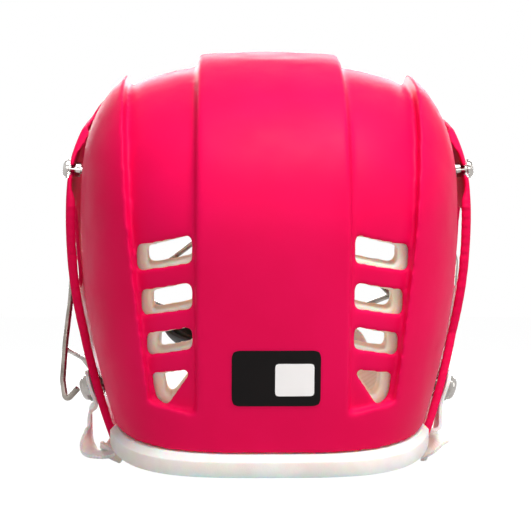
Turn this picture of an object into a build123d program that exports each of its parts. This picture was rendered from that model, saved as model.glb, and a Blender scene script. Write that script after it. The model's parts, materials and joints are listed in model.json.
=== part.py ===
from build123d import *
from math import copysign, cos, pi, radians, sin
import os

os.makedirs("parts", exist_ok=True)

# Hurling helmet, in millimetres. While it is modelled, the rim of the rear shell lies level,
# the face is towards -Y and the wearer's left is +X. At the end the whole helmet is tilted back
# to where it stands on the neck band and the chin wire, with the middle of its box at the origin.

# Form of the rear shell at the level of its ribs
waist_height = 105.0
crown_height = 95.2
skirt_depth = 125.0
waist_half_width = 101.5
rear_reach = 119.0
front_reach = 124.0
crown_flat = 20.0
skirt_taper_share = 0.28
skirt_tuck_share = 0.06
taper_power = 1.8
side_power = 3.4
profile_power = 2.3
plan_power = 2.7
rim_power = 3.5
level_shares = (0, 0.25, 0.45, 0.64, 0.78, 0.88, 0.95)
skirt_shares = (1, 0.8, 0.6, 0.4, 0.2)
outline_steps = 20

# Walls and steps of the two shells
wall = 2.6
rib_height = 4.8
channel_dip = 2.2
rim_height = 11.5
wing_gap = 5.4
tongue_gap = 2.2
overrun = 60.0

# Channels of the rear shell, in rear view
rib_half_width = 38.5
channel_foot = 32.0
channel_ledge_rise = 3.5
channel_outer_top = 77.5
channel_outer_middle = 71.5
channel_outer_foot = 62.0
channel_middle_height = 116.0

# Vents, in rear view, from the top one down to the three-cornered one
vent_inner = 41.0
vent_corner = 1.4
vent_outers = (68.0, 65.5, 63.0)
vent_inner_tops = (122.2, 98.5, 75.8)
vent_inner_feet = (109.0, 85.8, 65.0)
vent_outer_tops = (114.4, 92.0, 70.2)
vent_outer_feet = (102.0, 79.8, 59.3)
low_vent_outer = 60.5
low_vent_outer_top = 49.5
low_vent_inner_top = 53.9
low_vent_side = 58.6
low_vent_side_height = 37.4
low_vent_tip = 53.4
low_vent_tip_height = 33.6

# Ear notch and front edge of the rear shell, in side view
tongue_front = 42.0
shoulder_front = 36.0
shoulder_foot = 148.0
flank_front = 10.0
flank_top = 141.0
notch_edge = 22.0
notch_top = 122.0
notch_foot = 68.0
edge_corner = 4.0

# Front shell
front_side_power = 3.2
front_lengthen = 12.0
shell_parting = 40.0
front_tongue_rear = 22.0
front_tongue_half_width = 33.0
wing_edge = 25.0
wing_shoulder_height = 162.0
wing_waist_foot = 52.0
wing_tip = 56.0
wing_tip_height = 1.0
wing_foot = -5.0
wing_front = 46.0
cheek_front = 74.0
cheek_height = 74.0
brow_front = 100.0
brow_height = 90.0
wing_corner = 6.0
ear_hole_width = 26.0
ear_hole_height = 44.0
ear_hole_corner = 11.0
ear_hole_set_forward = 14.0
ear_hole_centre_height = 92.0

# Foam
foam_gap = 0.5
foam_thickness = 10.5
liner_split = 1.0
crown_pad_drop = 1.5
liner_top = 150.0
window_outer_margin = 5.5
window_foot_margin = 2.0
window_inner_margin = 1.5
crown_pad_front = 34.0
crown_pad_rear = 62.0
pad_parting = 2.0
brow_pad_drop = 11.0
brow_pad_top = 150.0
brow_pad_rear = 62.0
temple_pad_front = 84.0
temple_pad_rear = 49.0
temple_pad_top = 77.0
temple_pad_foot = 28.0

# Neck band
band_half_width = 87.0
band_reach = 118.5
band_thickness = 13.0
band_foot = 0.0
band_seat_gap = 0.2
band_chamfer = 3.2
band_front = 60.0

# Adjusting screws, high on the wings
adjust_y = 4.0
adjust_height = 139.0
adjust_face = 108.5
adjust_tilt = 7.4
adjust_shank_radius = 2.0
adjust_screw_length = 14.5
adjust_head_radius = 4.6
adjust_head_rise = 2.0
adjust_washer_radius = 5.6
adjust_washer_thickness = 1.0
adjust_nut_radius = 5.0
adjust_nut_thickness = 2.4
adjust_nut_depth = 13.4
adjust_spacer_radius = 4.0
adjust_spacer_length = 2.4
adjust_spacer_depth = 6.4
slot_travel_open = 10.0
slot_travel_close = 3.0
slot_clearance = 0.5

# Side screws, which hold the chin strap
side_screw_y = 28.0
side_screw_height = 23.0
side_face = 95.1
side_tilt = -17.7
side_shank_radius = 2.5
side_screw_length = 9.5
side_head_radius = 6.4
side_head_rise = 3.4
side_washer_radius = 7.4
side_washer_thickness = 1.3
side_nut_radius = 7.0
side_nut_flange = 1.2
side_nut_barrel_radius = 3.6
side_nut_length = 2.6
side_nut_seat = 0.9
hole_clearance = 0.3
seat_clearance = 0.3
nut_fit = 0.05
head_dome_share = 0.85
socket_share = 0.4

# Chin strap and cup
strap_thickness = 1.8
strap_width = 17.0
cup_half_length = 56.0
cup_radius = 25.0
cup_wall = 2.2
cup_x = 5.0
cup_forward = 92.0
cup_height = 30.0
cup_turn = 28.0
cup_boss_radius = 5.5
cup_boss_depth = 3.6
lining_thickness = 3.0
lining_end_gap = 2.5
rivet_radius = 2.0
rivet_head_radius = 4.2
rivet_head_rise = 1.6
rivet_tail_thickness = 0.9

# Face guard and the clips that carry it
wire_radius = 1.6
guard_half_width = 109.5
guard_reach = 139.0
hinge_height = 103.0
guard_bend = 26.0
clip_x = 30.0
clip_width = 13.0
clip_wall = 2.4
clip_top = 126.0
clip_arm_rear = 100.0
clip_screw_height = 116.0
clip_screw_radius = 2.0
clip_screw_length = 9.7
clip_face = 132.6
clip_head_radius = 4.4
clip_head_rise = 2.0
clip_nut_radius = 4.8
clip_nut_thickness = 2.2
clip_nut_depth = 9.3
pad_pocket_radius = 6.5
tilt_back = 12.0

reach = rear_reach + overrun
crown_top = waist_height + crown_height + overrun
pieces = {}


def keep(builder, name):
    builder.part.label = name
    pieces[name] = builder
    print(name, round(builder.part.volume))


def oval(half_width, rear, front, power):
    points = []
    for step in range(outline_steps):
        angle = 2 * pi * step / outline_steps
        across, along = cos(angle), sin(angle)
        depth = rear if along > 0 else front
        x = copysign(abs(across) ** (2 / power), across) * half_width
        y = copysign(abs(along) ** (2 / power), along) * depth
        points.append((x, y))
    return points


def dome(grow, widen=0.0, lengthen=0.0, power_of_side=side_power, lower=0.0):
    # A closed form through level ovals, grown outwards all round, and more at the sides and the front
    top = crown_height + grow - lower
    half_width = waist_half_width + grow + widen
    front = front_reach + grow + lengthen
    rear = rear_reach + grow
    with BuildPart() as form:
        for share in skirt_shares:
            narrow = 1 - skirt_taper_share * share ** taper_power
            tuck = 1 - skirt_tuck_share * share ** 2
            power = plan_power + (rim_power - plan_power) * share
            with BuildSketch(Plane.XY.offset(waist_height - share * skirt_depth)):
                with BuildLine():
                    Spline(*oval(half_width * narrow, rear * tuck, front * tuck, power), periodic=True)
                make_face()
        for share in level_shares:
            narrow = (1 - share ** power_of_side) ** (1 / power_of_side)
            tuck = (1 - share ** profile_power) ** (1 / profile_power)
            with BuildSketch(Plane.XY.offset(waist_height + share * top)):
                with BuildLine():
                    Spline(*oval(half_width * narrow, rear * tuck, front * tuck, plan_power), periodic=True)
                make_face()
        with BuildSketch(Plane.XY.offset(waist_height + top)):
            with BuildLine():
                Spline(*oval(crown_flat, crown_flat, crown_flat, 2), periodic=True)
            make_face()
        loft()
    return form.part


def front_dome(grow):
    under_tongue = wall + tongue_gap
    return dome(grow - under_tongue, under_tongue + wing_gap + wall, front_lengthen, front_side_power)


def rear_view_prism(points, corner, near, far):
    # A prism along Y of an outline given as x and height
    with BuildPart() as prism:
        with BuildSketch(Plane.XZ.offset(-far)):
            with BuildLine():
                Polyline(*points, close=True)
            make_face()
            if corner > 0:
                fillet(vertices(), corner)
        extrude(amount=far - near)
    return prism.part


def side_view_prism(points, corner, near, far):
    # A prism along X of an outline given as y and height
    with BuildPart() as prism:
        with BuildSketch(Plane.YZ.offset(near)):
            with BuildLine():
                Polyline(*points, close=True)
            make_face()
            if corner > 0:
                fillet(vertices(), corner)
        extrude(amount=far - near)
    return prism.part


def block(low, high):
    # A square-edged block between two opposite corners
    with BuildPart() as body:
        with BuildSketch(Plane.XY.offset(low[2])):
            with BuildLine():
                Polyline(
                    (low[0], low[1]), (high[0], low[1]), (high[0], high[1]), (low[0], high[1]), close=True
                )
            make_face()
        extrude(amount=high[2] - low[2])
    return body.part


def rod(plane, radius, start, length):
    # A round bar along a plane's normal
    with BuildPart() as bar:
        with BuildSketch(plane.offset(start)):
            Circle(radius)
        extrude(amount=length)
    return bar.part


def across_plane(side, y, height, distance, tilt):
    # A plane on a wing, facing out and leaning with it
    lean = radians(tilt)
    return Plane(
        origin=(side * distance, y, height),
        x_dir=(0, 1, 0),
        z_dir=(side * cos(lean), 0, sin(lean)),
    )


def adjust_plane(side):
    return across_plane(side, adjust_y, adjust_height, adjust_face, adjust_tilt)


def side_plane(side):
    return across_plane(side, side_screw_y, side_screw_height, side_face, side_tilt)


def clip_plane(side):
    return Plane(origin=(side * clip_x, -clip_face, clip_screw_height), x_dir=(1, 0, 0), z_dir=(0, -1, 0))


# Rear shell: one moulded wall that steps down into two channels and up over the rib and ridges
def channel_outline(side, inset):
    return [
        (side * (rib_half_width - inset), channel_foot - inset),
        (side * (rib_half_width - inset), crown_top),
        (side * (channel_outer_top + inset), crown_top),
        (side * (channel_outer_top + inset), waist_height + crown_height),
        (side * (channel_outer_middle + inset), channel_middle_height),
        (side * (channel_outer_foot + inset), channel_foot + channel_ledge_rise - inset),
    ]


def vent_outlines(side, outer_margin=0.0, foot_margin=0.0, inner_margin=0.0):
    inner = side * (vent_inner + inner_margin)
    outlines = []
    for row in range(len(vent_outers)):
        outer = side * (vent_outers[row] - outer_margin)
        outlines.append([
            (inner, vent_inner_tops[row]),
            (outer, vent_outer_tops[row]),
            (outer, vent_outer_feet[row] + foot_margin),
            (inner, vent_inner_feet[row] + foot_margin),
        ])
    outlines.append([
        (inner, low_vent_inner_top),
        (side * (low_vent_outer - outer_margin), low_vent_outer_top),
        (side * (low_vent_side - outer_margin), low_vent_side_height + foot_margin),
        (side * (low_vent_tip - outer_margin / 2), low_vent_tip_height + 2 * foot_margin),
    ])
    return outlines


outer_level = dome(0)
floor_level = dome(-rib_height, lower=channel_dip)
under_ribs = dome(-wall)
under_floor = dome(-rib_height - wall, lower=channel_dip)
shell_front_edge = [
    (-shoulder_front, crown_top),
    (-shoulder_front, shoulder_foot),
    (-flank_front, flank_top),
    (-flank_front, notch_top),
    (notch_edge, notch_top),
    (notch_edge, notch_foot),
    (-flank_front, notch_foot),
    (-flank_front, rim_height - overrun),
    (reach, rim_height - overrun),
    (reach, crown_top),
]
with BuildPart() as rear_cavity:
    add(under_ribs)
    for side in (1, -1):
        wide = rear_view_prism(channel_outline(side, wall), 0, -tongue_front, reach)
        add(wide - under_floor, mode=Mode.SUBTRACT)
with BuildPart() as rear_shell:
    add(outer_level)
    for side in (1, -1):
        narrow = rear_view_prism(channel_outline(side, 0), 0, -tongue_front, reach)
        add(narrow - floor_level, mode=Mode.SUBTRACT)
    add(rear_cavity.part, mode=Mode.SUBTRACT)
    add(block((-reach, -reach, -reach), (reach, reach, rim_height)), mode=Mode.SUBTRACT)
    for side in (1, -1):
        for outline in vent_outlines(side):
            add(rear_view_prism(outline, vent_corner, notch_edge, reach), mode=Mode.SUBTRACT)
    add(side_view_prism(shell_front_edge, edge_corner, -reach, reach), mode=Mode.INTERSECT)
    for side in (1, -1):
        bore = adjust_shank_radius + hole_clearance
        hole = rod(adjust_plane(side), bore, -adjust_screw_length - wall, adjust_screw_length)
        add(hole, mode=Mode.SUBTRACT)
keep(rear_shell, "rear_shell")

# Front shell: forehead, crown tongue and the two wings that lap outside the rear shell
front_side_edge = [
    (-shell_parting, crown_top),
    (-shell_parting, wing_shoulder_height),
    (-flank_front, wing_shoulder_height - wall),
    (wing_edge / 2, adjust_height + 2 * wall),
    (wing_edge, notch_top),
    (wing_edge, wing_waist_foot),
    (side_screw_y + 2 * side_washer_radius, side_screw_height - side_washer_radius / 2),
    (wing_tip, wing_tip_height),
    (wing_tip - wing_corner / 2, wing_foot),
    (-wing_front, wing_foot + wall),
    (-wing_front - wing_corner, side_screw_height),
    (-cheek_front, cheek_height),
    (-brow_front, brow_height),
    (-reach, brow_height),
    (-reach, crown_top),
]
front_tongue = block(
    (-front_tongue_half_width, -shell_parting - overrun, waist_height),
    (front_tongue_half_width, -front_tongue_rear, crown_top),
)
with BuildPart() as ear_holes:
    with BuildSketch(Plane.YZ.offset(-reach)):
        with Locations((-ear_hole_set_forward, ear_hole_centre_height)):
            RectangleRounded(ear_hole_width, ear_hole_height, ear_hole_corner)
        slot_length = slot_travel_open + slot_travel_close
        with Locations((adjust_y + (slot_travel_open - slot_travel_close) / 2, adjust_height)):
            SlotCenterToCenter(slot_length, 2 * (adjust_shank_radius + slot_clearance))
    extrude(amount=2 * reach)
with BuildPart() as front_shell:
    add(front_dome(0))
    add(front_dome(-wall), mode=Mode.SUBTRACT)
    outline = side_view_prism(front_side_edge, 0, -reach, reach)
    add(outline + front_tongue, mode=Mode.INTERSECT)
    add(ear_holes.part, mode=Mode.SUBTRACT)
    for side in (1, -1):
        bore = clip_screw_radius + hole_clearance
        add(rod(clip_plane(side), bore, -clip_screw_length - wall, overrun), mode=Mode.SUBTRACT)
        bore = side_shank_radius + hole_clearance
        add(rod(side_plane(side), bore, -side_screw_length, 2 * side_screw_length), mode=Mode.SUBTRACT)
keep(front_shell, "front_shell")

# Foam inside the rear shell, in two halves, with a window behind each vent
pad_outer = -rib_height - wall - foam_gap
pad_inner = pad_outer - foam_thickness
foam_inner = dome(pad_inner, lower=channel_dip)
foam_shell = dome(pad_outer, lower=channel_dip) - foam_inner
liner_front_edge = [
    (crown_pad_rear + pad_parting, liner_top),
    (notch_edge - window_outer_margin, liner_top - foam_thickness),
    (notch_edge - window_outer_margin, rim_height),
    (reach, rim_height),
    (reach, liner_top),
]
for side, name in ((1, "rear_liner_left"), (-1, "rear_liner_right")):
    with BuildPart() as rear_liner:
        add(foam_shell)
        add(side_view_prism(liner_front_edge, 0, -reach, reach), mode=Mode.INTERSECT)
        near, far = sorted((side * liner_split, side * reach))
        add(block((near, -reach, -reach), (far, reach, crown_top)), mode=Mode.INTERSECT)
        for outline in vent_outlines(side, window_outer_margin, window_foot_margin, -window_inner_margin):
            add(rear_view_prism(outline, vent_corner, notch_edge, reach), mode=Mode.SUBTRACT)
    keep(rear_liner, name)

with BuildPart() as crown_pad:
    add(dome(pad_outer - crown_pad_drop, lower=channel_dip) - foam_inner)
    add(block((-reach, -crown_pad_front, liner_top), (reach, crown_pad_rear, crown_top)), mode=Mode.INTERSECT)
keep(crown_pad, "crown_pad")

# Foam inside the front shell: one brow pad and a pad at each temple
front_foam = front_dome(-wall - foam_gap) - front_dome(-wall - foam_gap - foam_thickness)
with BuildPart() as brow_pad:
    add(front_foam)
    low = brow_height - brow_pad_drop
    add(block((-reach, -2 * reach, low), (reach, -brow_pad_rear, brow_pad_top)), mode=Mode.INTERSECT)
    for side in (1, -1):
        pocket = rod(clip_plane(side), pad_pocket_radius, -clip_screw_length - seat_clearance, overrun)
        add(pocket, mode=Mode.SUBTRACT)
keep(brow_pad, "brow_pad")
for side, name in ((1, "temple_pad_left"), (-1, "temple_pad_right")):
    with BuildPart() as temple_pad:
        add(front_foam)
        near, far = sorted((0, side * reach))
        low = (near, -temple_pad_front, temple_pad_foot)
        high = (far, -temple_pad_rear, temple_pad_top)
        add(block(low, high), mode=Mode.INTERSECT)
        add(side_view_prism(front_side_edge, 0, -reach, reach), mode=Mode.INTERSECT)
    keep(temple_pad, name)

# Neck band: a firm foam bumper under the rim of the rear shell
with BuildPart() as neck_band:
    with BuildSketch(Plane.XY.offset(band_foot)):
        with BuildLine():
            Spline(*oval(band_half_width, band_reach, band_reach, rim_power), periodic=True)
        make_face()
        with BuildLine():
            inner_width = band_half_width - band_thickness
            inner_reach = band_reach - band_thickness
            Spline(*oval(inner_width, inner_reach, inner_reach, rim_power), periodic=True)
        make_face(mode=Mode.SUBTRACT)
    extrude(amount=rim_height - band_foot - band_seat_gap)
    chamfer(faces().sort_by(Axis.Z)[-1].outer_wire().edges(), band_chamfer)
    add(block((-reach, -reach, -reach), (reach, band_front, reach)), mode=Mode.SUBTRACT)
keep(neck_band, "neck_band")


# Screws, washers and nuts
def domed_screw(plane, shank_radius, head_radius, head_rise, length):
    with BuildPart() as screw:
        with BuildSketch(plane.offset(-length)):
            Circle(shank_radius)
        extrude(amount=length)
        with BuildSketch(plane):
            Circle(head_radius)
        extrude(amount=head_rise)
        rims = edges().filter_by(GeomType.CIRCLE).group_by(SortBy.RADIUS)[-1]
        top_rim = rims.sort_by(lambda edge: (edge.center() - plane.origin).dot(plane.z_dir))[-1]
        fillet(top_rim, head_rise * head_dome_share)
        with BuildSketch(plane.offset(head_rise)):
            RegularPolygon(head_radius * socket_share, 6)
        extrude(amount=-head_rise / 2, mode=Mode.SUBTRACT)
    return screw


def ring(plane, outer_radius, inner_radius, thickness):
    with BuildPart() as washer:
        with BuildSketch(plane):
            Circle(outer_radius)
            Circle(inner_radius, mode=Mode.SUBTRACT)
        extrude(amount=thickness)
    return washer


def flanged_nut(plane, flange_radius, flange_thickness, barrel_radius, bore_radius, depth):
    # The flange lies against the wall, and the barrel stands behind it
    with BuildPart() as nut:
        with BuildSketch(plane):
            Circle(flange_radius)
            Circle(bore_radius, mode=Mode.SUBTRACT)
        extrude(amount=-flange_thickness)
        with BuildSketch(plane):
            Circle(barrel_radius)
            Circle(bore_radius, mode=Mode.SUBTRACT)
        extrude(amount=-depth)
    return nut


for side, hand in ((1, "left"), (-1, "right")):
    face = adjust_plane(side)
    bore = adjust_shank_radius + hole_clearance
    keep(ring(face, adjust_washer_radius, bore, adjust_washer_thickness), "adjusting_washer_" + hand)
    head = face.offset(adjust_washer_thickness)
    screw = domed_screw(head, adjust_shank_radius, adjust_head_radius, adjust_head_rise, adjust_screw_length)
    keep(screw, "adjusting_screw_" + hand)
    seat = face.offset(-adjust_nut_depth)
    nut = ring(seat, adjust_nut_radius, adjust_shank_radius + nut_fit, adjust_nut_thickness)
    keep(nut, "adjusting_nut_" + hand)
    spacer = ring(face.offset(-adjust_spacer_depth), adjust_spacer_radius, bore, adjust_spacer_length)
    keep(spacer, "adjusting_spacer_" + hand)

    face = side_plane(side).offset(strap_thickness + seat_clearance)
    bore = side_shank_radius + hole_clearance
    keep(ring(face, side_washer_radius, bore, side_washer_thickness), "side_washer_" + hand)
    head = face.offset(side_washer_thickness)
    screw = domed_screw(head, side_shank_radius, side_head_radius, side_head_rise, side_screw_length)
    keep(screw, "side_screw_" + hand)
    seat = side_plane(side).offset(-wall - side_nut_seat)
    bore = side_shank_radius + nut_fit
    nut = flanged_nut(seat, side_nut_radius, side_nut_flange, side_nut_barrel_radius, bore, side_nut_length)
    keep(nut, "side_nut_" + hand)

    face = clip_plane(side)
    screw = domed_screw(face, clip_screw_radius, clip_head_radius, clip_head_rise, clip_screw_length)
    keep(screw, "clip_screw_" + hand)
    seat = face.offset(-clip_nut_depth)
    nut = ring(seat, clip_nut_radius, clip_screw_radius + nut_fit, clip_nut_thickness)
    keep(nut, "clip_nut_" + hand)

# Face guard: bent wires, welded where they cross. Places are shares of the guard's half width,
# of the hinge's distance in front of the middle and of the hinge's height.
guard_sizes = (guard_half_width, guard_reach, hinge_height)
brow_wire_shares = [
    (0.948, 0.194, 0.209),
    (1.01, 0.18, 0.132),
    (1.028, 0.129, 0.233),
    (1.017, 0.058, 0.427),
    (1.001, -0.058, 0.602),
    (1.01, -0.36, 0.777),
    (0.911, -0.676, 0.903),
    (0.639, -0.892, 0.981),
    (0.402, -1, 1),
    (-0.402, -1, 1),
    (-0.639, -0.892, 0.981),
    (-0.911, -0.676, 0.903),
    (-1.008, -0.374, 0.757),
    (-0.95, -0.129, 0.447),
    (-0.9, 0.029, 0.243),
    (-0.882, 0.108, 0.189),
]
brow_bend_shares = [0.1, 0.25, 0.7, 0.7, 0.9, 0.9, 0.9, 0.7, 0.7, 0.9, 0.9, 0.9, 0.7, 0.15]
jaw_wire_shares = [
    (1.02, 0.072, 0.388),
    (0.963, -0.273, 0.214),
    (0.84, -0.518, -0.078),
    (0.603, -0.719, -0.35),
    (0.256, -0.835, -0.468),
    (-0.256, -0.835, -0.468),
    (-0.603, -0.719, -0.35),
    (-0.84, -0.518, -0.078),
    (-0.963, -0.273, 0.214),
    (-0.935, -0.082, 0.385),
]
jaw_bend_shares = [1.1, 1.1, 1.1, 1, 1, 1.1, 1.1, 0.7]
lower_bar_shares = [
    (0.891, -0.413, 0.048),
    (0.749, -0.748, 0.039),
    (0.402, -1.007, 0.029),
    (-0.402, -1.007, 0.029),
    (-0.749, -0.748, 0.039),
    (-0.889, -0.408, 0.053),
]
lower_bend_shares = [1.1, 1.1, 1.1, 1.1]
cheek_wire_shares = [
    (0.961, -0.282, 0.204),
    (0.785, -0.719, 0.35),
    (0.566, -0.935, 0.544),
    (0.274, -1.05, 0.757),
    (0.183, -1, 1),
]
cheek_bend_shares = [1, 0.75, 0.55]
eye_wire_shares = [
    (0.998, -0.422, 0.798),
    (0.849, -0.683, 0.505),
    (0.566, -0.899, 0.311),
    (0.329, -1.029, 0.031),
    (0.256, -0.964, -0.233),
    (0.237, -0.835, -0.468),
]
eye_bend_shares = [0.85, 0.85, 0.6, 0.55]


def spread(shares, sizes, side=1):
    # Places in space from a table of shares, mirrored for the right side
    return [(side * x * sizes[0], y * sizes[1], z * sizes[2]) for x, y, z in shares]


def bent_wire(points, bend_shares):
    with BuildPart() as wire:
        with BuildLine() as route:
            FilletPolyline(*points, radius=[guard_bend * share for share in bend_shares])
        with BuildSketch(Plane(origin=route.line @ 0, z_dir=route.line % 0)):
            Circle(wire_radius)
        sweep()
    return wire.part


with BuildPart() as face_guard:
    add(bent_wire(spread(brow_wire_shares, guard_sizes), brow_bend_shares))
    add(bent_wire(spread(jaw_wire_shares, guard_sizes), jaw_bend_shares))
    add(bent_wire(spread(lower_bar_shares, guard_sizes), lower_bend_shares))
    for side in (1, -1):
        add(bent_wire(spread(cheek_wire_shares, guard_sizes, side), cheek_bend_shares))
        add(bent_wire(spread(eye_wire_shares, guard_sizes, side), eye_bend_shares))
keep(face_guard, "face_guard")

# Forehead clips: a loop round the hinge wire, on a foot that follows the front shell under its screw
clip_sheet = front_dome(seat_clearance + clip_wall)
clip_seat = front_dome(seat_clearance)
loop_radius = wire_radius + hole_clearance + clip_wall
for side, hand in ((1, "left"), (-1, "right")):
    low_x = side * clip_x - clip_width / 2
    high_x = low_x + clip_width
    with BuildPart() as clip:
        add(clip_sheet)
        foot = block((low_x, -reach, hinge_height), (high_x, -clip_arm_rear, clip_top))
        add(foot, mode=Mode.INTERSECT)
        with BuildSketch(Plane.YZ.offset(low_x)):
            with Locations((-guard_reach, hinge_height)):
                Circle(loop_radius)
            with BuildLine():
                Polyline(
                    (-guard_reach, hinge_height + loop_radius),
                    (-clip_arm_rear, hinge_height + loop_radius),
                    (-clip_arm_rear, hinge_height - loop_radius),
                    (-guard_reach, hinge_height - loop_radius),
                    close=True,
                )
            make_face()
        extrude(amount=clip_width)
        with BuildSketch(Plane.YZ.offset(low_x)):
            with Locations((-guard_reach, hinge_height)):
                Circle(wire_radius + hole_clearance)
        extrude(amount=clip_width, mode=Mode.SUBTRACT)
        add(clip_seat, mode=Mode.SUBTRACT)
        bore = rod(clip_plane(side), clip_screw_radius + hole_clearance, -overrun, 2 * overrun)
        add(bore, mode=Mode.SUBTRACT)
    keep(clip, "forehead_clip_" + hand)

# Chin cup: half an oval bowl that opens up and back, with a boss at each end for its rivet
cup_plane = Plane(
    origin=(cup_x, -cup_forward, cup_height),
    x_dir=(1, 0, 0),
    z_dir=(0, sin(radians(cup_turn)), cos(radians(cup_turn))),
)


def bowl(half_length, radius):
    with BuildPart() as half_bowl:
        with BuildSketch(cup_plane):
            Ellipse(half_length, radius)
            with Locations((0, radius)):
                Rectangle(2 * half_length, 2 * radius, mode=Mode.SUBTRACT)
        revolve(axis=Axis(cup_plane.origin, cup_plane.x_dir), revolution_arc=180)
    return half_bowl.part


def cup_end_plane(side):
    origin = (cup_x + side * cup_half_length, -cup_forward, cup_height)
    return Plane(origin=origin, x_dir=(0, 1, 0), z_dir=(side, 0, 0))


with BuildPart() as chin_cup:
    add(bowl(cup_half_length, cup_radius))
    add(bowl(cup_half_length - cup_wall, cup_radius - cup_wall), mode=Mode.SUBTRACT)
    for side in (1, -1):
        add(rod(cup_end_plane(side), cup_boss_radius, -cup_boss_depth, cup_boss_depth))
        bore = rivet_radius + hole_clearance
        add(rod(cup_end_plane(side), bore, -2 * cup_boss_depth, 4 * cup_boss_depth), mode=Mode.SUBTRACT)
keep(chin_cup, "chin_cup")
inner = cup_wall + seat_clearance
lining_half_length = cup_half_length - inner - lining_end_gap
with BuildPart() as chin_cup_lining:
    add(bowl(lining_half_length, cup_radius - inner))
    hollow = bowl(lining_half_length - lining_thickness, cup_radius - inner - lining_thickness)
    add(hollow, mode=Mode.SUBTRACT)
keep(chin_cup_lining, "chin_cup_lining")

# Rivets that hold the strap to the ends of the cup and let the cup tilt
strap_off_cup = strap_thickness / 2 + 2 * seat_clearance
for side, hand in ((1, "left"), (-1, "right")):
    head = cup_end_plane(side).offset(strap_off_cup + strap_thickness / 2 + seat_clearance)
    shank_length = 2 * strap_off_cup + cup_boss_depth + seat_clearance
    rivet = domed_screw(head, rivet_radius, rivet_head_radius, rivet_head_rise, shank_length)
    tail = cup_end_plane(side).offset(-cup_boss_depth - seat_clearance / 2)
    with BuildPart() as cup_rivet:
        add(rivet.part)
        with BuildSketch(tail):
            Circle(rivet_head_radius)
        extrude(amount=-rivet_tail_thickness)
    keep(cup_rivet, "cup_rivet_" + hand)


# Chin strap: flat webbing from each side screw, under the wing and forward to the cup
def ribbon(places, width_ways):
    # The width at each place runs as near to its given way as the strap's own direction lets it
    stops = [Vector(*place) for place in places]
    with BuildPart() as band:
        for index, way in enumerate(width_ways):
            ahead = stops[min(index + 1, len(stops) - 1)] - stops[max(index - 1, 0)]
            across = Vector(*way)
            across = across - ahead.normalized() * across.dot(ahead.normalized())
            with BuildSketch(Plane(origin=stops[index], x_dir=across, z_dir=ahead)):
                Rectangle(strap_width, strap_thickness)
        loft(ruled=True)
    return band.part


# Tails are shares of the wing's half width and of the side screw's place, and runs are shares
# of the cup's half length from its middle and of its place
tail_sizes = (guard_half_width, side_screw_y, side_screw_height)
run_sizes = (cup_half_length, cup_forward, cup_height)
left_tail_shares = [
    (0.901, 1, 1.374),
    (0.877, 1, 0.991),
    (0.854, 1, 0.643),
    (0.884, 1.05, 0.4),
    (0.886, 1.15, 0),
    (0.88, 1.3, -0.2),
    (0.862, 1.571, -0.43),
    (0.808, 1.786, -0.487),
    (0.749, 1.571, -0.47),
    (0.708, 0.929, -0.413),
]
left_run_shares = [
    (1.205, -0.174, -0.133),
    (1.08, -0.674, 0.4),
    (1.025, -0.913, 0.833),
    (1.025, -1.098, 1.157),
]
left_ways = [
    (0, 1, 0), (0, 1, 0), (0, 1, 0), (0, 1, 0), (0, 1, 0.1), (0.1, 1, 0.2), (0.5, 1, 0.2), (1, 1, 0),
    (1, 0.6, 0), (1, 0.2, 0.2), (1, 0, 0.8), (0.2, 0, 1), (0, 0.5, 1), (0, 0.5, 1),
]
right_tail_shares = [
    (0.901, 1, 1.374),
    (0.877, 1, 0.991),
    (0.854, 1, 0.643),
    (0.851, 1.05, 0.26),
    (0.842, 1.107, 0),
    (0.809, 1.179, -0.326),
    (0.749, 0.964, -0.47),
    (0.685, 0.071, -0.348),
]
right_run_shares = [
    (1.286, -0.435, 0.067),
    (1.098, -0.783, 0.567),
    (1.025, -0.913, 0.833),
    (1.025, -1.098, 1.157),
]
right_ways = [
    (0, 1, 0), (0, 1, 0), (0, 1, 0), (0, 1, 0), (0, 1, 0.2), (0.5, -1, 0), (1, -0.8, 0), (1, -0.2, -0.3),
    (1, 0, -0.9), (-0.2, 0, 1), (0, 0.5, 1), (0, 0.5, 1),
]
for side, hand, tail_shares, run_shares, ways in (
    (1, "left", left_tail_shares, left_run_shares, left_ways),
    (-1, "right", right_tail_shares, right_run_shares, right_ways),
):
    tail = spread(tail_shares, tail_sizes, side)
    run = [(cup_x + x, y, z) for x, y, z in spread(run_shares, run_sizes, side)]
    with BuildPart() as chin_strap:
        add(ribbon(tail + run, ways))
        bore = side_shank_radius + hole_clearance
        add(rod(side_plane(side), bore, -side_screw_length, 2 * side_screw_length), mode=Mode.SUBTRACT)
        bore = rivet_radius + hole_clearance
        add(rod(cup_end_plane(side), bore, -cup_boss_depth, 3 * cup_boss_depth), mode=Mode.SUBTRACT)
    keep(chin_strap, "chin_strap_" + hand)

# The helmet stands tilted back, on its neck band and its chin wire
for builder in pieces.values():
    builder.part.move(Rotation(-tilt_back, 0, 0))
boxes = [builder.part.bounding_box() for builder in pieces.values()]
low = [min(getattr(box.min, axis) for box in boxes) for axis in "XYZ"]
high = [max(getattr(box.max, axis) for box in boxes) for axis in "XYZ"]
set_down = Location((-(low[0] + high[0]) / 2, -(low[1] + high[1]) / 2, -low[2]))
for name, builder in pieces.items():
    builder.part.move(set_down)
    export_step(builder.part, f"parts/{name}.step")
print("size", [round(b - a, 2) for a, b in zip(low, high)])
print("set down by", [round(value, 3) for value in set_down.position])
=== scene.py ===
# %% [markdown]
# # A hurling helmet, seen from behind
# The helmet has two moulded shells, foam pads inside them, a firm foam band at the neck, a cage of bent
# wire in front of the face and a strap with a chin cup. The measured model is loaded first. Every piece
# that is made here is placed in the helmet's own terms, with its rim level and its face towards -Y, and
# is then tilted back with the measured model, which stands on the neck band and the chin wire.

# %% Load the measured model
import json
from math import atan2, copysign, cos, radians, sin, sqrt

import bpy
from mathutils import Matrix, Vector


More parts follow.
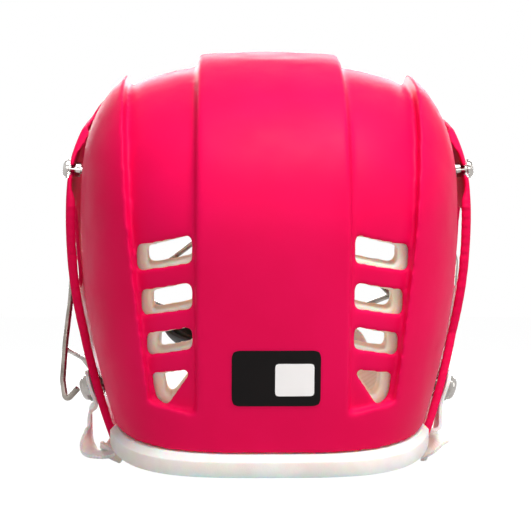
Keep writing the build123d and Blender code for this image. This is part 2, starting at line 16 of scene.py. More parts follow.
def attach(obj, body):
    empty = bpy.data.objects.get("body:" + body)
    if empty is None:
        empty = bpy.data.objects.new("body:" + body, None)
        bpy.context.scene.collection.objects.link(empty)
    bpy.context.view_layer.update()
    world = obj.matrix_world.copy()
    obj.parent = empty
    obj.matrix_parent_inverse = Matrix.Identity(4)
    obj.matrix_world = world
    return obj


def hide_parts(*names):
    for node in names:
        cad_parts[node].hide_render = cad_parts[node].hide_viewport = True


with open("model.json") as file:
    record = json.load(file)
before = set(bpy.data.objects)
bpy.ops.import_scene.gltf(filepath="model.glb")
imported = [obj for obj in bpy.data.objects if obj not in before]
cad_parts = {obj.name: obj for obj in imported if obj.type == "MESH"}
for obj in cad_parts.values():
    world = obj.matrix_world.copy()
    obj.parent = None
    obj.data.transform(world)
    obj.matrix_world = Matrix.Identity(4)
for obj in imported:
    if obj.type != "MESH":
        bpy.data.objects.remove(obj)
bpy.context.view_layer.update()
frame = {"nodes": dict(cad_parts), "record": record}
nodes = frame["nodes"]
bpy.ops.object.select_all(action="DESELECT")
print("pieces loaded:", len(nodes))

# %% [markdown]
# The head seat is a known point on the helmet's middle line, and its axis gives the tilt. With these two
# a place in millimetres on the level helmet becomes a place in metres on the tilted one, and back.

# %% From the level helmet to the standing one
MM = 0.001
seat = frame["record"]["mounts"][0]
seat_height = 179.6
rim_rear = (0, 119, 11.5)
turn = Matrix.Rotation(-atan2(-seat["axis"][1], -seat["axis"][2]), 4, "X")
from_seat = Matrix.Translation((0, 0, -seat_height * MM)) @ Matrix.Scale(MM, 4)
stand = Matrix.Translation(seat["pos_m"]) @ turn @ from_seat
lie_down = stand.inverted()
print("the rear of the rim stands at", [round(c, 4) for c in stand @ Vector(rim_rear)])

# %% [markdown]
# Blender's operators act on what is selected, and modifiers are applied one at a time, as by hand. These
# few helpers keep that in order for every piece that follows.

# %% Pick, edit and modify
def pick(piece):
    bpy.ops.object.select_all(action="DESELECT")
    piece.select_set(True)
    bpy.context.view_layer.objects.active = piece


def edit(piece):
    pick(piece)
    bpy.ops.object.mode_set(mode="EDIT")
    bpy.ops.mesh.select_all(action="SELECT")


def leave():
    bpy.ops.object.mode_set(mode="OBJECT")


def modify(piece, kind, **settings):
    # Adds one modifier, sets it and applies it
    pick(piece)
    modifier = piece.modifiers.new(kind.lower(), kind)
    for key, value in settings.items():
        setattr(modifier, key, value)
    bpy.ops.object.modifier_apply(modifier=modifier.name)


print("helpers ready")

# %% [markdown]
# A piece is modelled in millimetres on the level helmet and then stood up. The object's own place and
# size go into its mesh, so that patterns on its surface stay where they are. Then it gets its name, its
# finish, the body that it moves with and the measured pieces that it stands for.

# %% Finish a piece
def stand_up(piece):
    piece.data.transform(stand @ piece.matrix_world)
    piece.matrix_world = Matrix.Identity(4)
    piece.data.update()


def put_on(piece, name, material, body, slot, *replaced, smooth_angle=40):
    # An angle of 0 shades the piece smooth all over
    piece.name = name
    piece.data.name = name
    piece.data.materials.clear()
    piece.data.materials.append(material)
    pick(piece)
    if smooth_angle:
        bpy.ops.object.shade_smooth_by_angle(angle=radians(smooth_angle))
    else:
        bpy.ops.object.shade_smooth()
    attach(piece, body)
    if replaced:
        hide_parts(*replaced)
    lowest = min(vertex.co.z for vertex in piece.data.vertices)
    print(name, len(piece.data.polygons), "faces, lowest at", round(lowest, 4))


# %% [markdown]
# ## Finishes
# A shader counts in linear light, while a given colour is on a screen's curve. The curve is
# undone once, here, so that every colour below can be written in the familiar numbers from 0 to 255.

# %% Colours as they are given
def linear(value):
    # The usual screen curve: straight near black, a power above
    share = value / 255
    return share / 12.92 if share <= 0.04045 else ((share + 0.055) / 1.055) ** 2.4


def srgb(red, green, blue):
    return (linear(red), linear(green), linear(blue), 1.0)


print("middle grey is", round(linear(128), 3), "in linear light")

# %% [markdown]
# Each finish is a small network of nodes: a colour that varies a little over the surface, a roughness
# that varies with it, and a fine relief. The patterns read the place on the object in metres. Most noise
# lies near the middle of its range, so a ramp uses only that part of it.

# %% A finish as a network of nodes
noise_low, noise_high = 0.35, 0.65


class Finish:
    def __init__(self, name):
        self.material = bpy.data.materials.new(name)
        self.material.use_nodes = True
        self.tree = self.material.node_tree
        self.shader = self.tree.nodes["Principled BSDF"]
        self.place = self.add("ShaderNodeTexCoord")
        self.height = None

    def add(self, kind, **settings):
        node = self.tree.nodes.new(kind)
        for key, value in settings.items():
            if key in node.inputs:
                node.inputs[key].default_value = value
            else:
                setattr(node, key, value)
        return node

    def link(self, source, target):
        self.tree.links.new(source, target)

    def set(self, **values):
        for key, value in values.items():
            self.shader.inputs[key.replace("_", " ")].default_value = value

    def noise(self, scale, detail=4.0):
        node = self.add("ShaderNodeTexNoise", Scale=scale, Detail=detail)
        self.link(self.place.outputs["Object"], node.inputs["Vector"])
        return node.outputs["Fac"]

    def colour(self, source, dark, light, start=noise_low, end=noise_high):
        node = self.add("ShaderNodeValToRGB")
        for stop, place, shade in zip(node.color_ramp.elements, (start, end), (dark, light)):
            stop.position = place
            stop.color = shade
        self.link(source, node.inputs["Fac"])
        self.link(node.outputs["Color"], self.shader.inputs["Base Color"])

    def rough(self, source, low, high):
        node = self.add("ShaderNodeMapRange")
        limits = {"From Min": noise_low, "From Max": noise_high, "To Min": low, "To Max": high}
        for key, value in limits.items():
            node.inputs[key].default_value = value
        self.link(source, node.inputs["Value"])
        self.link(node.outputs["Result"], self.shader.inputs["Roughness"])

    def relief(self, source, depth, strength=1.0):
        # A further relief is laid over the one before it
        node = self.add("ShaderNodeBump", Distance=depth, Strength=strength)
        self.link(source, node.inputs["Height"])
        if self.height:
            self.link(self.height, node.inputs["Normal"])
        self.height = node.outputs["Normal"]
        self.link(self.height, self.shader.inputs["Normal"])


print("noise is used from", noise_low, "to", noise_high)

# %% [markdown]
# Moulded plastic is one colour right through, with a very fine grain from the mould and a slow ripple
# where it cooled. The pink shells are matte, so they mirror very little of what is around them.

# %% Moulded plastic
def moulded_plastic(name, dark, light, low_rough, high_rough, grain_depth):
    cloud, sheen, grain, ripple = 14.0, 60.0, 2600.0, 95.0
    ripple_share = 3
    finish = Finish(name)
    finish.colour(finish.noise(cloud, detail=3.0), dark, light)
    finish.rough(finish.noise(sheen, detail=6.0), low_rough, high_rough)
    finish.relief(finish.noise(grain, detail=2.0), grain_depth)
    finish.relief(finish.noise(ripple, detail=2.0), grain_depth * ripple_share, strength=0.5)
    return finish


matte, mirror_share = (0.46, 0.54), 0.07
shell_finish = moulded_plastic("pink_moulded_plastic", srgb(223, 4, 74), srgb(231, 8, 82), *matte, 0.00004)
shell_finish.set(Specular_IOR_Level=mirror_share)
pink = shell_finish.material

satin = (0.38, 0.52)
black_finish = moulded_plastic("black_moulded_plastic", srgb(26, 25, 25), srgb(36, 34, 33), *satin, 0.00006)
black = black_finish.material
print("plastics:", pink.name, black.name)

# %% [markdown]
# Closed-cell foam is cut from a block: pale, dull, and pitted with very small cells. A little light
# goes into it and comes out again nearby, so its edges look soft.

# %% Foam
def foam(name, dark, light, pit_scale, pit_depth):
    mottle, dullness, dents = 40.0, 300.0, 130.0
    dent_share = 2
    finish = Finish(name)
    finish.colour(finish.noise(mottle, detail=5.0), dark, light)
    finish.rough(finish.noise(dullness), 0.7, 0.9)
    cells = finish.add("ShaderNodeTexVoronoi", Scale=pit_scale)
    finish.link(finish.place.outputs["Object"], cells.inputs["Vector"])
    finish.relief(cells.outputs["Distance"], pit_depth)
    finish.relief(finish.noise(dents, detail=3.0), pit_depth * dent_share, strength=0.6)
    finish.set(Subsurface_Weight=0.8, Subsurface_Scale=0.012, Specular_IOR_Level=0.2)
    return finish.material


cream = foam("cream_foam", srgb(252, 236, 212), srgb(255, 244, 226), 1300.0, 0.00010)
white_foam = foam("white_band_foam", srgb(238, 232, 226), srgb(250, 247, 243), 1700.0, 0.00008)
grey_foam = foam("dark_lining_foam", srgb(38, 37, 37), srgb(52, 50, 49), 1100.0, 0.00015)
print("foams:", cream.name, white_foam.name, grey_foam.name)

# %% [markdown]
# Drawn and plated wire is bright but not mirror-like, with fine marks along it. The screws are turned
# and chromed, so their scratches are finer.

# %% Metals
def metal(name, dark, light, low_rough, high_rough, scratch_scale, scratch_depth):
    tarnish, wear = 90.0, 220.0
    finish = Finish(name)
    finish.colour(finish.noise(tarnish, detail=6.0), dark, light)
    finish.rough(finish.noise(wear, detail=8.0), low_rough, high_rough)
    finish.relief(finish.noise(scratch_scale, detail=5.0), scratch_depth)
    finish.set(Metallic=1.0)
    return finish.material


steel = metal("plated_wire", srgb(122, 114, 107), srgb(166, 158, 150), 0.24, 0.42, 900.0, 0.00005)
chrome = metal("chromed_screw", srgb(150, 144, 138), srgb(190, 186, 182), 0.10, 0.24, 1500.0, 0.00002)
print("metals:", steel.name, chrome.name)

# %% [markdown]
# Webbing is woven from thick yarns: ribs run across it and a finer line runs along. The pattern follows
# the strap through its own unwrapped coordinates, which are in metres across and along it. Its colour is a
# little darker in the grooves between the ribs, which is painted shade.

# %% Woven webbing
weave = Finish("white_webbing")
ribs = weave.add("ShaderNodeTexWave", Scale=260.0, Distortion=0.6, bands_direction="Y")
lines = weave.add("ShaderNodeTexWave", Scale=420.0, Distortion=0.4, bands_direction="X")
for pattern in (ribs, lines):
    weave.link(weave.place.outputs["UV"], pattern.inputs["Vector"])
# Painted shade: the colour follows the ribs' relief and is a little darker in the grooves
weave.colour(ribs.outputs["Fac"], srgb(248, 245, 238), srgb(255, 253, 249), start=0.1, end=0.7)
weave.relief(ribs.outputs["Fac"], 0.00008)
weave.relief(lines.outputs["Fac"], 0.00005)
weave.set(Roughness=0.75, Sheen_Weight=0.25, Specular_IOR_Level=0.3)
weave.set(Subsurface_Weight=0.5, Subsurface_Scale=0.006)
webbing = weave.material
print("cloth:", webbing.name)

# %% [markdown]
# The small hard pieces keep their measured form and only need a finish: chromed screws, washers and nuts,
# black clips and cup, and the plated wire of the guard. Faces that meet at less than the given angle are
# shaded as one curve, and the sharper edges stay crisp.

# %% Dress the measured pieces
crisp_angle = 35
fastenings = ("screw", "washer", "nut", "spacer", "rivet")


def finish_of(node):
    if any(word in node for word in fastenings):
        return chrome
    if "clip" in node or node == "chin_cup":
        return black
    return steel if node == "face_guard" else None


dressed = {node: finish_of(node) for node in nodes if finish_of(node)}
for node, material in dressed.items():
    piece = nodes[node]
    piece.data.materials.clear()
    piece.data.materials.append(material)
    pick(piece)
    bpy.ops.object.shade_smooth_by_angle(angle=radians(crisp_angle))
print("dressed", len(dressed), "measured pieces")

# %% [markdown]
# ## Shells
# The real shells are moulded, so every step and edge is soft: there is no crisp corner anywhere. Bevelling
# each edge of such a shape by hand would be slow and would fail where the steps fade out. Instead the
# measured form is copied, turned into an even skin of small faces, and that skin is smoothed a little,
# which rounds ribs, channels, vents and rims alike. A skin with very many faces is thinned afterwards.

# %% Soften a measured form
weld_distance = 0.01
smooth_factor = 0.5


def softened(node, voxel, passes):
    piece = bpy.data.objects.new("softened", nodes[node].data.copy())
    bpy.context.scene.collection.objects.link(piece)
    edit(piece)
    bpy.ops.mesh.remove_doubles(threshold=weld_distance * MM)
    leave()
    modify(piece, "REMESH", mode="VOXEL", voxel_size=voxel * MM, adaptivity=0.0)
    modify(piece, "SMOOTH", factor=smooth_factor, iterations=passes)
    return piece


rear_shell_piece = softened("rear_shell", voxel=1.0, passes=16)
print("rear shell skin:", len(rear_shell_piece.data.vertices), "points")

# %% [markdown]
# The rear shell has a raised rib down its middle and a ridge on each side. The ridge line gives how far
# a ridge is from the middle at each height. A soft ramp from 0 to 1 lets a change fade in and out, so
# that no new step appears at its edge.

# %% Lift the shell beside the ridges
ridge_line = [(-5.0, 60.0), (35.5, 62.0), (116.0, 71.5), (200.2, 77.5), (260.0, 77.5)]
ridge_lift = 1.4
ridge_top, ridge_foot = 4.0, 20.0
lift_start, lift_full = 150.0, 185.0


def ramp_up(value, low, high):
    share = min(max((value - low) / (high - low), 0.0), 1.0)
    return share * share * (3 - 2 * share)


def along(line, place):
    # The value at a place on a line of straight stretches
    for (start, first), (end, last) in zip(line, line[1:]):
        if place <= end:
            return first + (last - first) * (place - start) / (end - start)
    return line[-1][1]


def from_ridge(place):
    return abs(abs(place.x) - along(ridge_line, place.z))


for vertex in rear_shell_piece.data.vertices:
    place = lie_down @ vertex.co
    lift = ridge_lift * (1 - ramp_up(from_ridge(place), ridge_top, ridge_foot))
    place.z += lift * ramp_up(place.z, lift_start, lift_full)
    vertex.co = stand @ place
print("shell lifted by up to", ridge_lift, "mm at the ridges")

# %% [markdown]
# The steps beside the rib and along the ridges are wide soft curves on the real shell. Above the vents the
# skin is smoothed much further near those lines, by a vertex group that fades out away from them. Beside
# the vents it is smoothed less, because the frames of the vents have to stay clear.

# %% Soften the steps of the rear shell
rib_edge = 38.5
step_reach = 8.0
vents_top, vents_fade = 122.0, 12.0
beside_vents = 0.3
step_passes = 34
shell_face_share = 0.28

steps = rear_shell_piece.vertex_groups.new(name="steps")
by_weight = {}
for vertex in rear_shell_piece.data.vertices:
    place = lie_down @ vertex.co
    away = min(abs(abs(place.x) - rib_edge), from_ridge(place))
    weight = 1 - ramp_up(away, step_reach / 2, step_reach)
    weight *= beside_vents + (1 - beside_vents) * ramp_up(place.z, vents_top, vents_top + vents_fade)
    by_weight.setdefault(round(weight, 1), []).append(vertex.index)
for weight, members in by_weight.items():
    if weight > 0:
        steps.add(members, weight, "REPLACE")
modify(rear_shell_piece, "SMOOTH", factor=smooth_factor, iterations=step_passes, vertex_group="steps")
modify(rear_shell_piece, "DECIMATE", ratio=shell_face_share)
put_on(rear_shell_piece, "moulded_rear_shell", pink, "rear", "shell", "rear_shell", smooth_angle=0)

# %% [markdown]
# The front shell follows the channels of the rear shell where the two meet on the crown. How far it sinks
# there depends on the distance from the middle, the distance from the parting line and the height.

# %% How far the crown of the front shell sinks
channel_depth = 4.6
channel_inner, channel_outer = (32.0, 46.0), (70.0, 90.0)
parting = -40.0
parting_reach = (10.0, 75.0)
crown_reach = (165.0, 180.0)


def sunk(place):
    across = ramp_up(abs(place.x), *channel_inner)
    across *= 1 - ramp_up(abs(place.x), *channel_outer)
    near_parting = 1 - ramp_up(parting - place.y, *parting_reach)
    return channel_depth * across * near_parting * ramp_up(place.z, *crown_reach)


print("crown sinks by up to", channel_depth, "mm")

# %% [markdown]
# The rear edges of the wings are rolled inwards, so that from behind they look thick. The edge line gives
# how far back a wing reaches at each height. The inner face moves and the outer one stays, which a point's
# normal tells. Level with the adjusting screws the edges stay flat, because the wings slide over the spacers
# there.

# %% How far the edge of a wing rolls in
wing_top = 158.0
edge_line = [
    (-5.0, 57.0), (1.0, 56.0), (19.0, 43.0), (52.0, 25.0), (122.0, 25.0), (144.0, 12.5), (160.0, -10.0),
]
roll_depth = 3.0
roll_start, roll_full = 8.0, 1.0
screw_height = 139.0
spacer_reach = (7.0, 15.0)
on_the_edge, turn_gain = 0.5, 0.9


def rolled(place, outward):
    edge = along(edge_line, place.z)
    inside = min(max(on_the_edge - outward * turn_gain, 0.0), 1.0)
    inside *= ramp_up(abs(place.z - screw_height), *spacer_reach)
    return roll_depth * inside * ramp_up(place.y, edge - roll_start, edge - roll_full)


print("wing edges roll in by up to", roll_depth, "mm")

# %% [markdown]
# All normals are read before the first point moves, because Blender works every normal out again each
# time that one is read after a change. A few last passes of smoothing take out the corners of the edge line.

# %% Front shell
front_shell_piece = softened("front_shell", voxel=1.0, passes=12)
facing = lie_down.to_3x3().normalized()
normals = [facing @ vertex.normal for vertex in front_shell_piece.data.vertices]
for vertex, normal in zip(front_shell_piece.data.vertices, normals):
    place = lie_down @ vertex.co
    side = copysign(1.0, place.x)
    place.z -= sunk(place)
    if place.z < wing_top:
        place.x -= side * rolled(place, normal.x * side)
    vertex.co = stand @ place
modify(front_shell_piece, "SMOOTH", factor=smooth_factor, iterations=8)
modify(front_shell_piece, "DECIMATE", ratio=shell_face_share)
put_on(front_shell_piece, "moulded_front_shell", pink, "front", "shell", "front_shell", smooth_angle=0)

# %% [markdown]
# ## Foam lining
# The pads are cut from soft closed-cell foam, and the cutting wire and wear have rounded their edges. They
# are softened in the same way as the shells, on a coarser skin, because foam shows no fine steps.

# %% Foam pads
foam_pads = {
    "rear_liner_left": "rear",
    "rear_liner_right": "rear",
    "crown_pad": "rear",
    "brow_pad": "front",
    "temple_pad_left": "front",
    "temple_pad_right": "front",
}
for node, body in foam_pads.items():
    pad = softened(node, voxel=1.4, passes=5)
    put_on(pad, "foam_" + node, cream, body, "foam", node, smooth_angle=0)
cup_lining = softened("chin_cup_lining", voxel=1.0, passes=5)
put_on(cup_lining, "foam_chin_cup_lining", grey_foam, "cup", "lining", "chin_cup_lining", smooth_angle=0)

# %% [markdown]
# ## Neck band
# A firm white bumper lies under the rim of the rear shell. A circle is shaped to the outline of the rim,
# drawn up into a wall, cut off at the front and given its thickness. The outline is a rounded oblong: the
# higher its power, the squarer its corners.

# %% The wall of the band
band_half_width, band_reach, band_power = 87.0, 118.5, 3.5
band_thickness = 13.0
band_top = 11.3
band_front = 60.0
rim_points = 160
start_radius = 100.0


def to_outline(co):
    length = sqrt(co.x ** 2 + co.y ** 2)
    across, back = co.x / length, co.y / length
    x = copysign(abs(across) ** (2 / band_power), across) * band_half_width
    return x, copysign(abs(back) ** (2 / band_power), back) * band_reach


bpy.ops.object.select_all(action="DESELECT")
bpy.ops.mesh.primitive_circle_add(vertices=rim_points, radius=start_radius, location=(0, 0, 0))
band = bpy.context.object
for vertex in band.data.vertices:
    vertex.co.x, vertex.co.y = to_outline(vertex.co)
edit(band)
bpy.ops.mesh.extrude_region_move(TRANSFORM_OT_translate={"value": (0, 0, band_top)})
bpy.ops.mesh.select_all(action="SELECT")
bpy.ops.mesh.bisect(plane_co=(0, band_front, 0), plane_no=(0, 1, 0), clear_inner=True)
bpy.ops.mesh.select_all(action="SELECT")
bpy.ops.mesh.normals_make_consistent(inside=False)
leave()
wall = band.data.polygons[0]
faces_out = wall.normal.x * wall.center.x + wall.normal.y * wall.center.y > 0
thicken_inwards = -1.0 if faces_out else 1.0
modify(band, "SOLIDIFY", thickness=band_thickness, offset=thicken_inwards, use_even_offset=True)
print("band wall", [round(v, 1) for v in band.dimensions], "mm")

# %% [markdown]
# The upper edge of the band is cut off at an angle and makes a crisp bright ledge, which is the line that
# the eye follows along the bottom of the helmet. The edges on the outer wall's top are chosen by their
# place and bevelled, and then every sharp corner gets a small round.

# %% The ledge and the soft corners of the band
ledge_width = 3.2
corner_round = 0.7
top_tolerance = 0.1
outer_share = 0.9


def on_outside(co):
    share = (abs(co.x) / band_half_width) ** band_power + (abs(co.y) / band_reach) ** band_power
    return share > outer_share


edit(band)
bpy.ops.mesh.select_mode(type="EDGE")
bpy.ops.mesh.select_all(action="DESELECT")
leave()
for edge in band.data.edges:
    ends = [band.data.vertices[i].co for i in edge.vertices]
    edge.select = all(co.z > band_top - top_tolerance and on_outside(co) for co in ends)
bpy.ops.object.mode_set(mode="EDIT")
bpy.ops.mesh.bevel(offset=ledge_width, segments=1, affect="EDGES")
leave()
modify(band, "BEVEL", width=corner_round, segments=3, limit_method="ANGLE", angle_limit=radians(30))
stand_up(band)
put_on(band, "bumper_neck_band", white_foam, "rear", "band", "neck_band", smooth_angle=30)

# %% [markdown]
# ## Chin strap
# The strap is flat webbing. It starts as a rounded tab under each side screw, runs down and round under
# the wing, and goes forward to the chin cup. It follows a smooth line through the places that it passes,
# and at each of them it has a crosswise direction of its own, which turns smoothly too.

# %% A smooth route
rows_per_stretch = 10


def between(values, index, share):
    # A smooth curve through four neighbours, from the second to the third
    last = len(values) - 1
    near = [Vector(values[min(max(index + step, 0), last)]) for step in (-1, 0, 1, 2)]
    before, start, end, after = near
    slope_in = (end - before) / 2
    slope_out = (after - start) / 2
    square, cube = share ** 2, share ** 3
    return (
        start * (2 * cube - 3 * square + 1) + slope_in * (cube - 2 * square + share)
        + end * (3 * square - 2 * cube) + slope_out * (cube - square)
    )


def route(places, ways):
    # The middle and the crosswise direction at each row, and the length travelled up to it
    stretches = len(places) - 1
    line = []
    for row in range(rows_per_stretch * stretches + 1):
        index, step = divmod(row, rows_per_stretch)
        if index == stretches:
            index, step = index - 1, rows_per_stretch
        share = step / rows_per_stretch
        line.append((between(places, index, share), between(ways, index, share)))
    travelled = [0.0]
    for (start, _), (end, _) in zip(line, line[1:]):
        travelled.append(travelled[-1] + (end - start).length)
    return line, travelled


print("rows of webbing from one place to the next:", rows_per_stretch)

# %% [markdown]
# A long grid is laid along the route, one row of points at each step, and its ends are drawn in to round
# tabs. Its unwrapped coordinates are stretched to the strap's real size, so that the weave has the same
# scale everywhere. The sheet then gets its thickness and softly rounded edges.

# %% Lay webbing along a route
strap_half_width = 8.5
strap_thickness = 1.8
strap_edge_round = 0.45
strap_columns = 8
least_rounding = 0.02


def webbing_strap(places, ways):
    line, travelled = route(places, ways)
    rows, length = len(line) - 1, travelled[-1]
    bpy.ops.object.select_all(action="DESELECT")
    bpy.ops.mesh.primitive_grid_add(x_subdivisions=strap_columns, y_subdivisions=rows, size=2, calc_uvs=True)
    strap = bpy.context.object
    for vertex in strap.data.vertices:
        row = round((vertex.co.y + 1) / 2 * rows)
        middle, way = line[row]
        ahead = (line[min(row + 1, rows)][0] - line[max(row - 1, 0)][0]).normalized()
        across = (way - ahead * way.dot(ahead)).normalized()
        from_end = min(travelled[row], length - travelled[row])
        rounding = sqrt(max(1 - (1 - min(from_end / strap_half_width, 1)) ** 2, least_rounding))
        vertex.co = middle + across * (vertex.co.x * strap_half_width * rounding)
    for corner in strap.data.uv_layers.active.data:
        corner.uv = (corner.uv[0] * 2 * strap_half_width * MM, corner.uv[1] * length * MM)
    modify(strap, "SOLIDIFY", thickness=strap_thickness, offset=0.0)
    modify(strap, "BEVEL", width=strap_edge_round, segments=2, limit_method="ANGLE", angle_limit=radians(50))
    edit(strap)
    bpy.ops.mesh.normals_make_consistent(inside=False)
    leave()
    stand_up(strap)
    print("strap", round(2 * strap_half_width), "mm wide and", round(length), "mm long")
    return strap


# %% [markdown]
# The places are in millimetres on the level helmet: across, back and up. The left strap droops in a lobe
# behind its wing before it turns forward, and the right one goes straight forward. Both end at the cup.

# %% The two straps
left_places = [
    (98.7, 28, 31.6), (96, 28, 22.8), (93.5, 28, 14.8), (96.8, 29.4, 9.2), (97, 32.2, 0), (96.4, 36.4, -4.6),
    (94.4, 44, -8.4), (88.5, 50, -8.2), (82, 44, -7.8), (77.5, 26, -7.5),
    (72.5, -16, -4), (65.5, -62, 12), (62.4, -84, 25), (62.4, -101, 34.7),
]
left_ways = [
    (0, 1, 0), (0, 1, 0), (0, 1, 0), (0, 1, 0), (0, 1, 0.1), (0.1, 1, 0.2), (0.5, 1, 0.2), (1, 1, 0),
    (1, 0.6, 0), (1, 0.2, 0.2), (1, 0, 0.8), (0.2, 0, 1), (0, 0.5, 1), (0, 0.5, 1),
]
right_places = [
    (-98.7, 28, 31.6), (-96, 28, 22.8), (-93.5, 28, 14.8), (-93.2, 29.4, 6), (-92.2, 31, 0),
    (-88.6, 33, -7.5), (-82, 27, -10.8), (-75, 2, -8), (-67, -40, 2), (-56.5, -72, 17), (-52.4, -84, 25),
    (-52.4, -101, 34.7),
]
right_ways = [
    (0, 1, 0), (0, 1, 0), (0, 1, 0), (0, 1, 0), (0, 1, 0.2), (0.5, -1, 0), (1, -0.8, 0), (1, -0.2, -0.3),
    (1, 0, -0.9), (-0.2, 0, 1), (0, 0.5, 1), (0, 0.5, 1),
]
for hand, places, ways in (("left", left_places, left_ways), ("right", right_places, right_ways)):
    node = "chin_strap_" + hand
    put_on(webbing_strap(places, ways), "webbing_" + node, webbing, "front", "strap", node, smooth_angle=45)

# %% [markdown]
# ## Label plate
# A bare black plate with rounded corners lies on the lower part of the rib, with a pale inset panel. Both
# are thin films, so a grid is rounded at its corners, wrapped on the shell and given a little thickness.
# The corners of the grid are drawn in along the line to the corner's centre, from a square to a circle.

# %% Wrap a thin film on the rib
film_columns, film_rows = 40, 30
behind_shell = 124.0


def film(name, across, up, corner, lift, thickness, material):
    half_x, half_z = (across[1] - across[0]) / 2, (up[1] - up[0]) / 2
    bpy.ops.object.select_all(action="DESELECT")
    bpy.ops.mesh.primitive_grid_add(x_subdivisions=film_columns, y_subdivisions=film_rows, size=2)
    plate = bpy.context.object
    for vertex in plate.data.vertices:
        x, z = vertex.co.x * half_x, vertex.co.y * half_z
        past_x, past_z = abs(x) - (half_x - corner), abs(z) - (half_z - corner)
        if past_x > 0 and past_z > 0:
            pull = max(past_x, past_z) / sqrt(past_x ** 2 + past_z ** 2)
            x = copysign(half_x - corner + past_x * pull, x)
            z = copysign(half_z - corner + past_z * pull, z)
        vertex.co = (sum(across) / 2 + x, behind_shell, sum(up) / 2 + z)
    stand_up(plate)
    modify(plate, "SHRINKWRAP", target=rear_shell_piece, wrap_method="NEAREST_SURFACEPOINT",
           wrap_mode="ABOVE_SURFACE", offset=lift * MM)
    modify(plate, "SMOOTH", factor=smooth_factor, iterations=4)
    edit(plate)
    bpy.ops.mesh.normals_make_consistent(inside=False)
    leave()
    if plate.data.polygons[0].normal.y < 0:
        plate.data.flip_normals()
    modify(plate, "SOLIDIFY", thickness=thickness * MM, offset=1.0)
    put_on(plate, name, material, "rear", "shell")


# %% [markdown]
# The films are smoother than the shell, with hardly any grain. The black one mirrors little, and the
# inset lies on top of it.

# %% The plate and its inset
glossy_black = moulded_plastic("black_film", srgb(12, 9, 9), srgb(18, 14, 14), 0.30, 0.40, 0.00001)
glossy_black.set(Specular_IOR_Level=0.1)
pale = moulded_plastic("white_film", srgb(244, 243, 240), srgb(251, 250, 248), 0.35, 0.45, 0.00001)
film("label_plate", across=(-24.6, 21.3), up=(36.5, 66.2), corner=4.0, lift=0.1, thickness=0.35,
     material=glossy_black.material)
film("label_inset", across=(-21.0, -0.9), up=(42.0, 59.3), corner=2.0, lift=0.45, thickness=0.2,
     material=pale.material)

# %% [markdown]
# ## Camera and light
# The photograph looks along the table at the back of the helmet, from a little over a metre away with a
# long lens. The camera is level, and turned a little from straight behind.

# %% Camera
view_turn = radians(178.6)
view_distance = 1.1
lens, sensor_width, shift_x = 135.05, 36.0, -0.00433
aim = stand @ Vector((0, 0, 84.2))
back = Vector((sin(view_turn), -cos(view_turn), 0.0))

camera_data = bpy.data.cameras.new("camera")
camera_data.lens = lens
camera_data.sensor_width = sensor_width
camera_data.shift_x = shift_x
camera = bpy.data.objects.new("camera", camera_data)
bpy.context.scene.collection.objects.link(camera)
camera.location = aim + back * view_distance
camera.rotation_euler = back.to_track_quat("Z", "Y").to_euler()
bpy.context.scene.camera = camera
print("camera at", [round(c, 3) for c in camera.location])

# %% [markdown]
# A large lamp hangs high on the camera's side and gives the bright crown, and a weak one behind the camera
# reaches into the vents. One stands at each side, the right one stronger. The lamp in front of the face is
# strong, because it lights the foam only through the face opening.

# %% Lamps
lamp_aim = Vector((0, 0, 0.12))


def lamp(name, place, size, power):
    data = bpy.data.lights.new(name, "AREA")
    data.shape = "RECTANGLE"
    data.size, data.size_y = size
    data.energy = power
    light = bpy.data.objects.new(name, data)
    bpy.context.scene.collection.objects.link(light)
    light.location = place
    light.rotation_euler = (Vector(place) - lamp_aim).to_track_quat("Z", "Y").to_euler()
    print(name, power, "W")


lamp("key_lamp", (-0.25, 0.6, 1.25), (0.8, 0.6), 23.0)
lamp("fill_lamp", (0.0, 1.6, 0.3), (0.6, 0.4), 3.5)
lamp("left_lamp", (1.2, 0.5, 0.5), (0.7, 0.9), 0.7)
lamp("right_lamp", (-1.2, 0.6, 0.6), (0.7, 0.9), 3.0)
lamp("front_lamp", (0.0, -1.3, 0.35), (1.0, 0.8), 36.0)

# %% [markdown]
# The background is white to the eye and to reflections, but lights the helmet only softly. So one shader
# is used for what the camera, glossy and transmitted rays see, and another for all other rays.

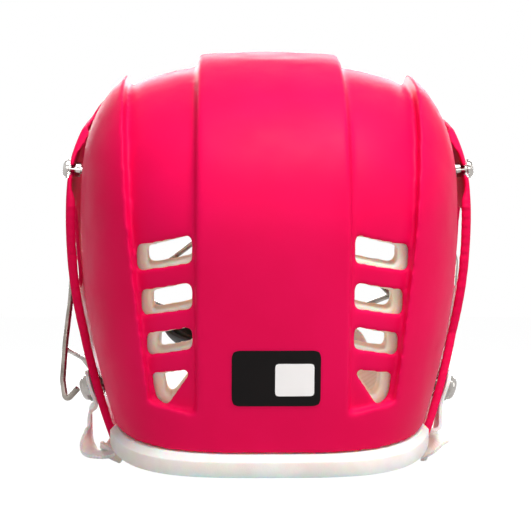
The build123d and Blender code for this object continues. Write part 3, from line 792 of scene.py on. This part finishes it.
# %% White to the eye
def white_to_the_eye(tree, plain, white, output):
    path = tree.nodes.new("ShaderNodeLightPath")
    first = tree.nodes.new("ShaderNodeMath")
    second = tree.nodes.new("ShaderNodeMath")
    first.operation = second.operation = "MAXIMUM"
    mix = tree.nodes.new("ShaderNodeMixShader")
    tree.links.new(path.outputs["Is Camera Ray"], first.inputs[0])
    tree.links.new(path.outputs["Is Glossy Ray"], first.inputs[1])
    tree.links.new(first.outputs[0], second.inputs[0])
    tree.links.new(path.outputs["Is Transmission Ray"], second.inputs[1])
    tree.links.new(second.outputs[0], mix.inputs[0])
    tree.links.new(plain, mix.inputs[1])
    tree.links.new(white, mix.inputs[2])
    tree.links.new(mix.outputs[0], output)


soft_strength, white_strength = 0.16, 1.0
world = bpy.data.worlds.new("tent")
bpy.context.scene.world = world
world.use_nodes = True
soft = world.node_tree.nodes["Background"]
bright = world.node_tree.nodes.new("ShaderNodeBackground")
for shader, strength in ((soft, soft_strength), (bright, white_strength)):
    shader.inputs["Color"].default_value = (1, 1, 1, 1)
    shader.inputs["Strength"].default_value = strength
world_output = world.node_tree.nodes["World Output"].inputs["Surface"]
white_to_the_eye(world.node_tree, soft.outputs[0], bright.outputs[0], world_output)
print("world strength", soft_strength)

# %% [markdown]
# The floor is pale and mostly glows, so that it melts into the background, while the part of it that does
# not glow still takes the helmet's shadow.

# %% Floor
floor_size = 6.0
floor_grey, floor_rough = 0.5, 0.9
glow_strength, glow_share = 1.1, 0.88

bpy.ops.mesh.primitive_plane_add(size=floor_size, location=(0, 0, 0))
floor = bpy.context.object
floor.name = "floor"
floor_material = bpy.data.materials.new("pale_floor")
floor_material.use_nodes = True
tree = floor_material.node_tree
matte_floor = tree.nodes["Principled BSDF"]
matte_floor.inputs["Base Color"].default_value = (floor_grey, floor_grey, floor_grey, 1)
matte_floor.inputs["Roughness"].default_value = floor_rough
glow = tree.nodes.new("ShaderNodeEmission")
glow.inputs["Strength"].default_value = glow_strength
blend = tree.nodes.new("ShaderNodeMixShader")
blend.inputs[0].default_value = glow_share
tree.links.new(matte_floor.outputs[0], blend.inputs[1])
tree.links.new(glow.outputs[0], blend.inputs[2])
floor_output = tree.nodes["Material Output"].inputs["Surface"]
white_to_the_eye(tree, matte_floor.outputs[0], blend.outputs[0], floor_output)
floor.data.materials.append(floor_material)
print("floor", floor_size, "m wide")

# %% [markdown]
# Colours are shown as they are written, with no film look laid over them.

# %% Show colours as they are written
bpy.context.scene.view_settings.view_transform = "Standard"
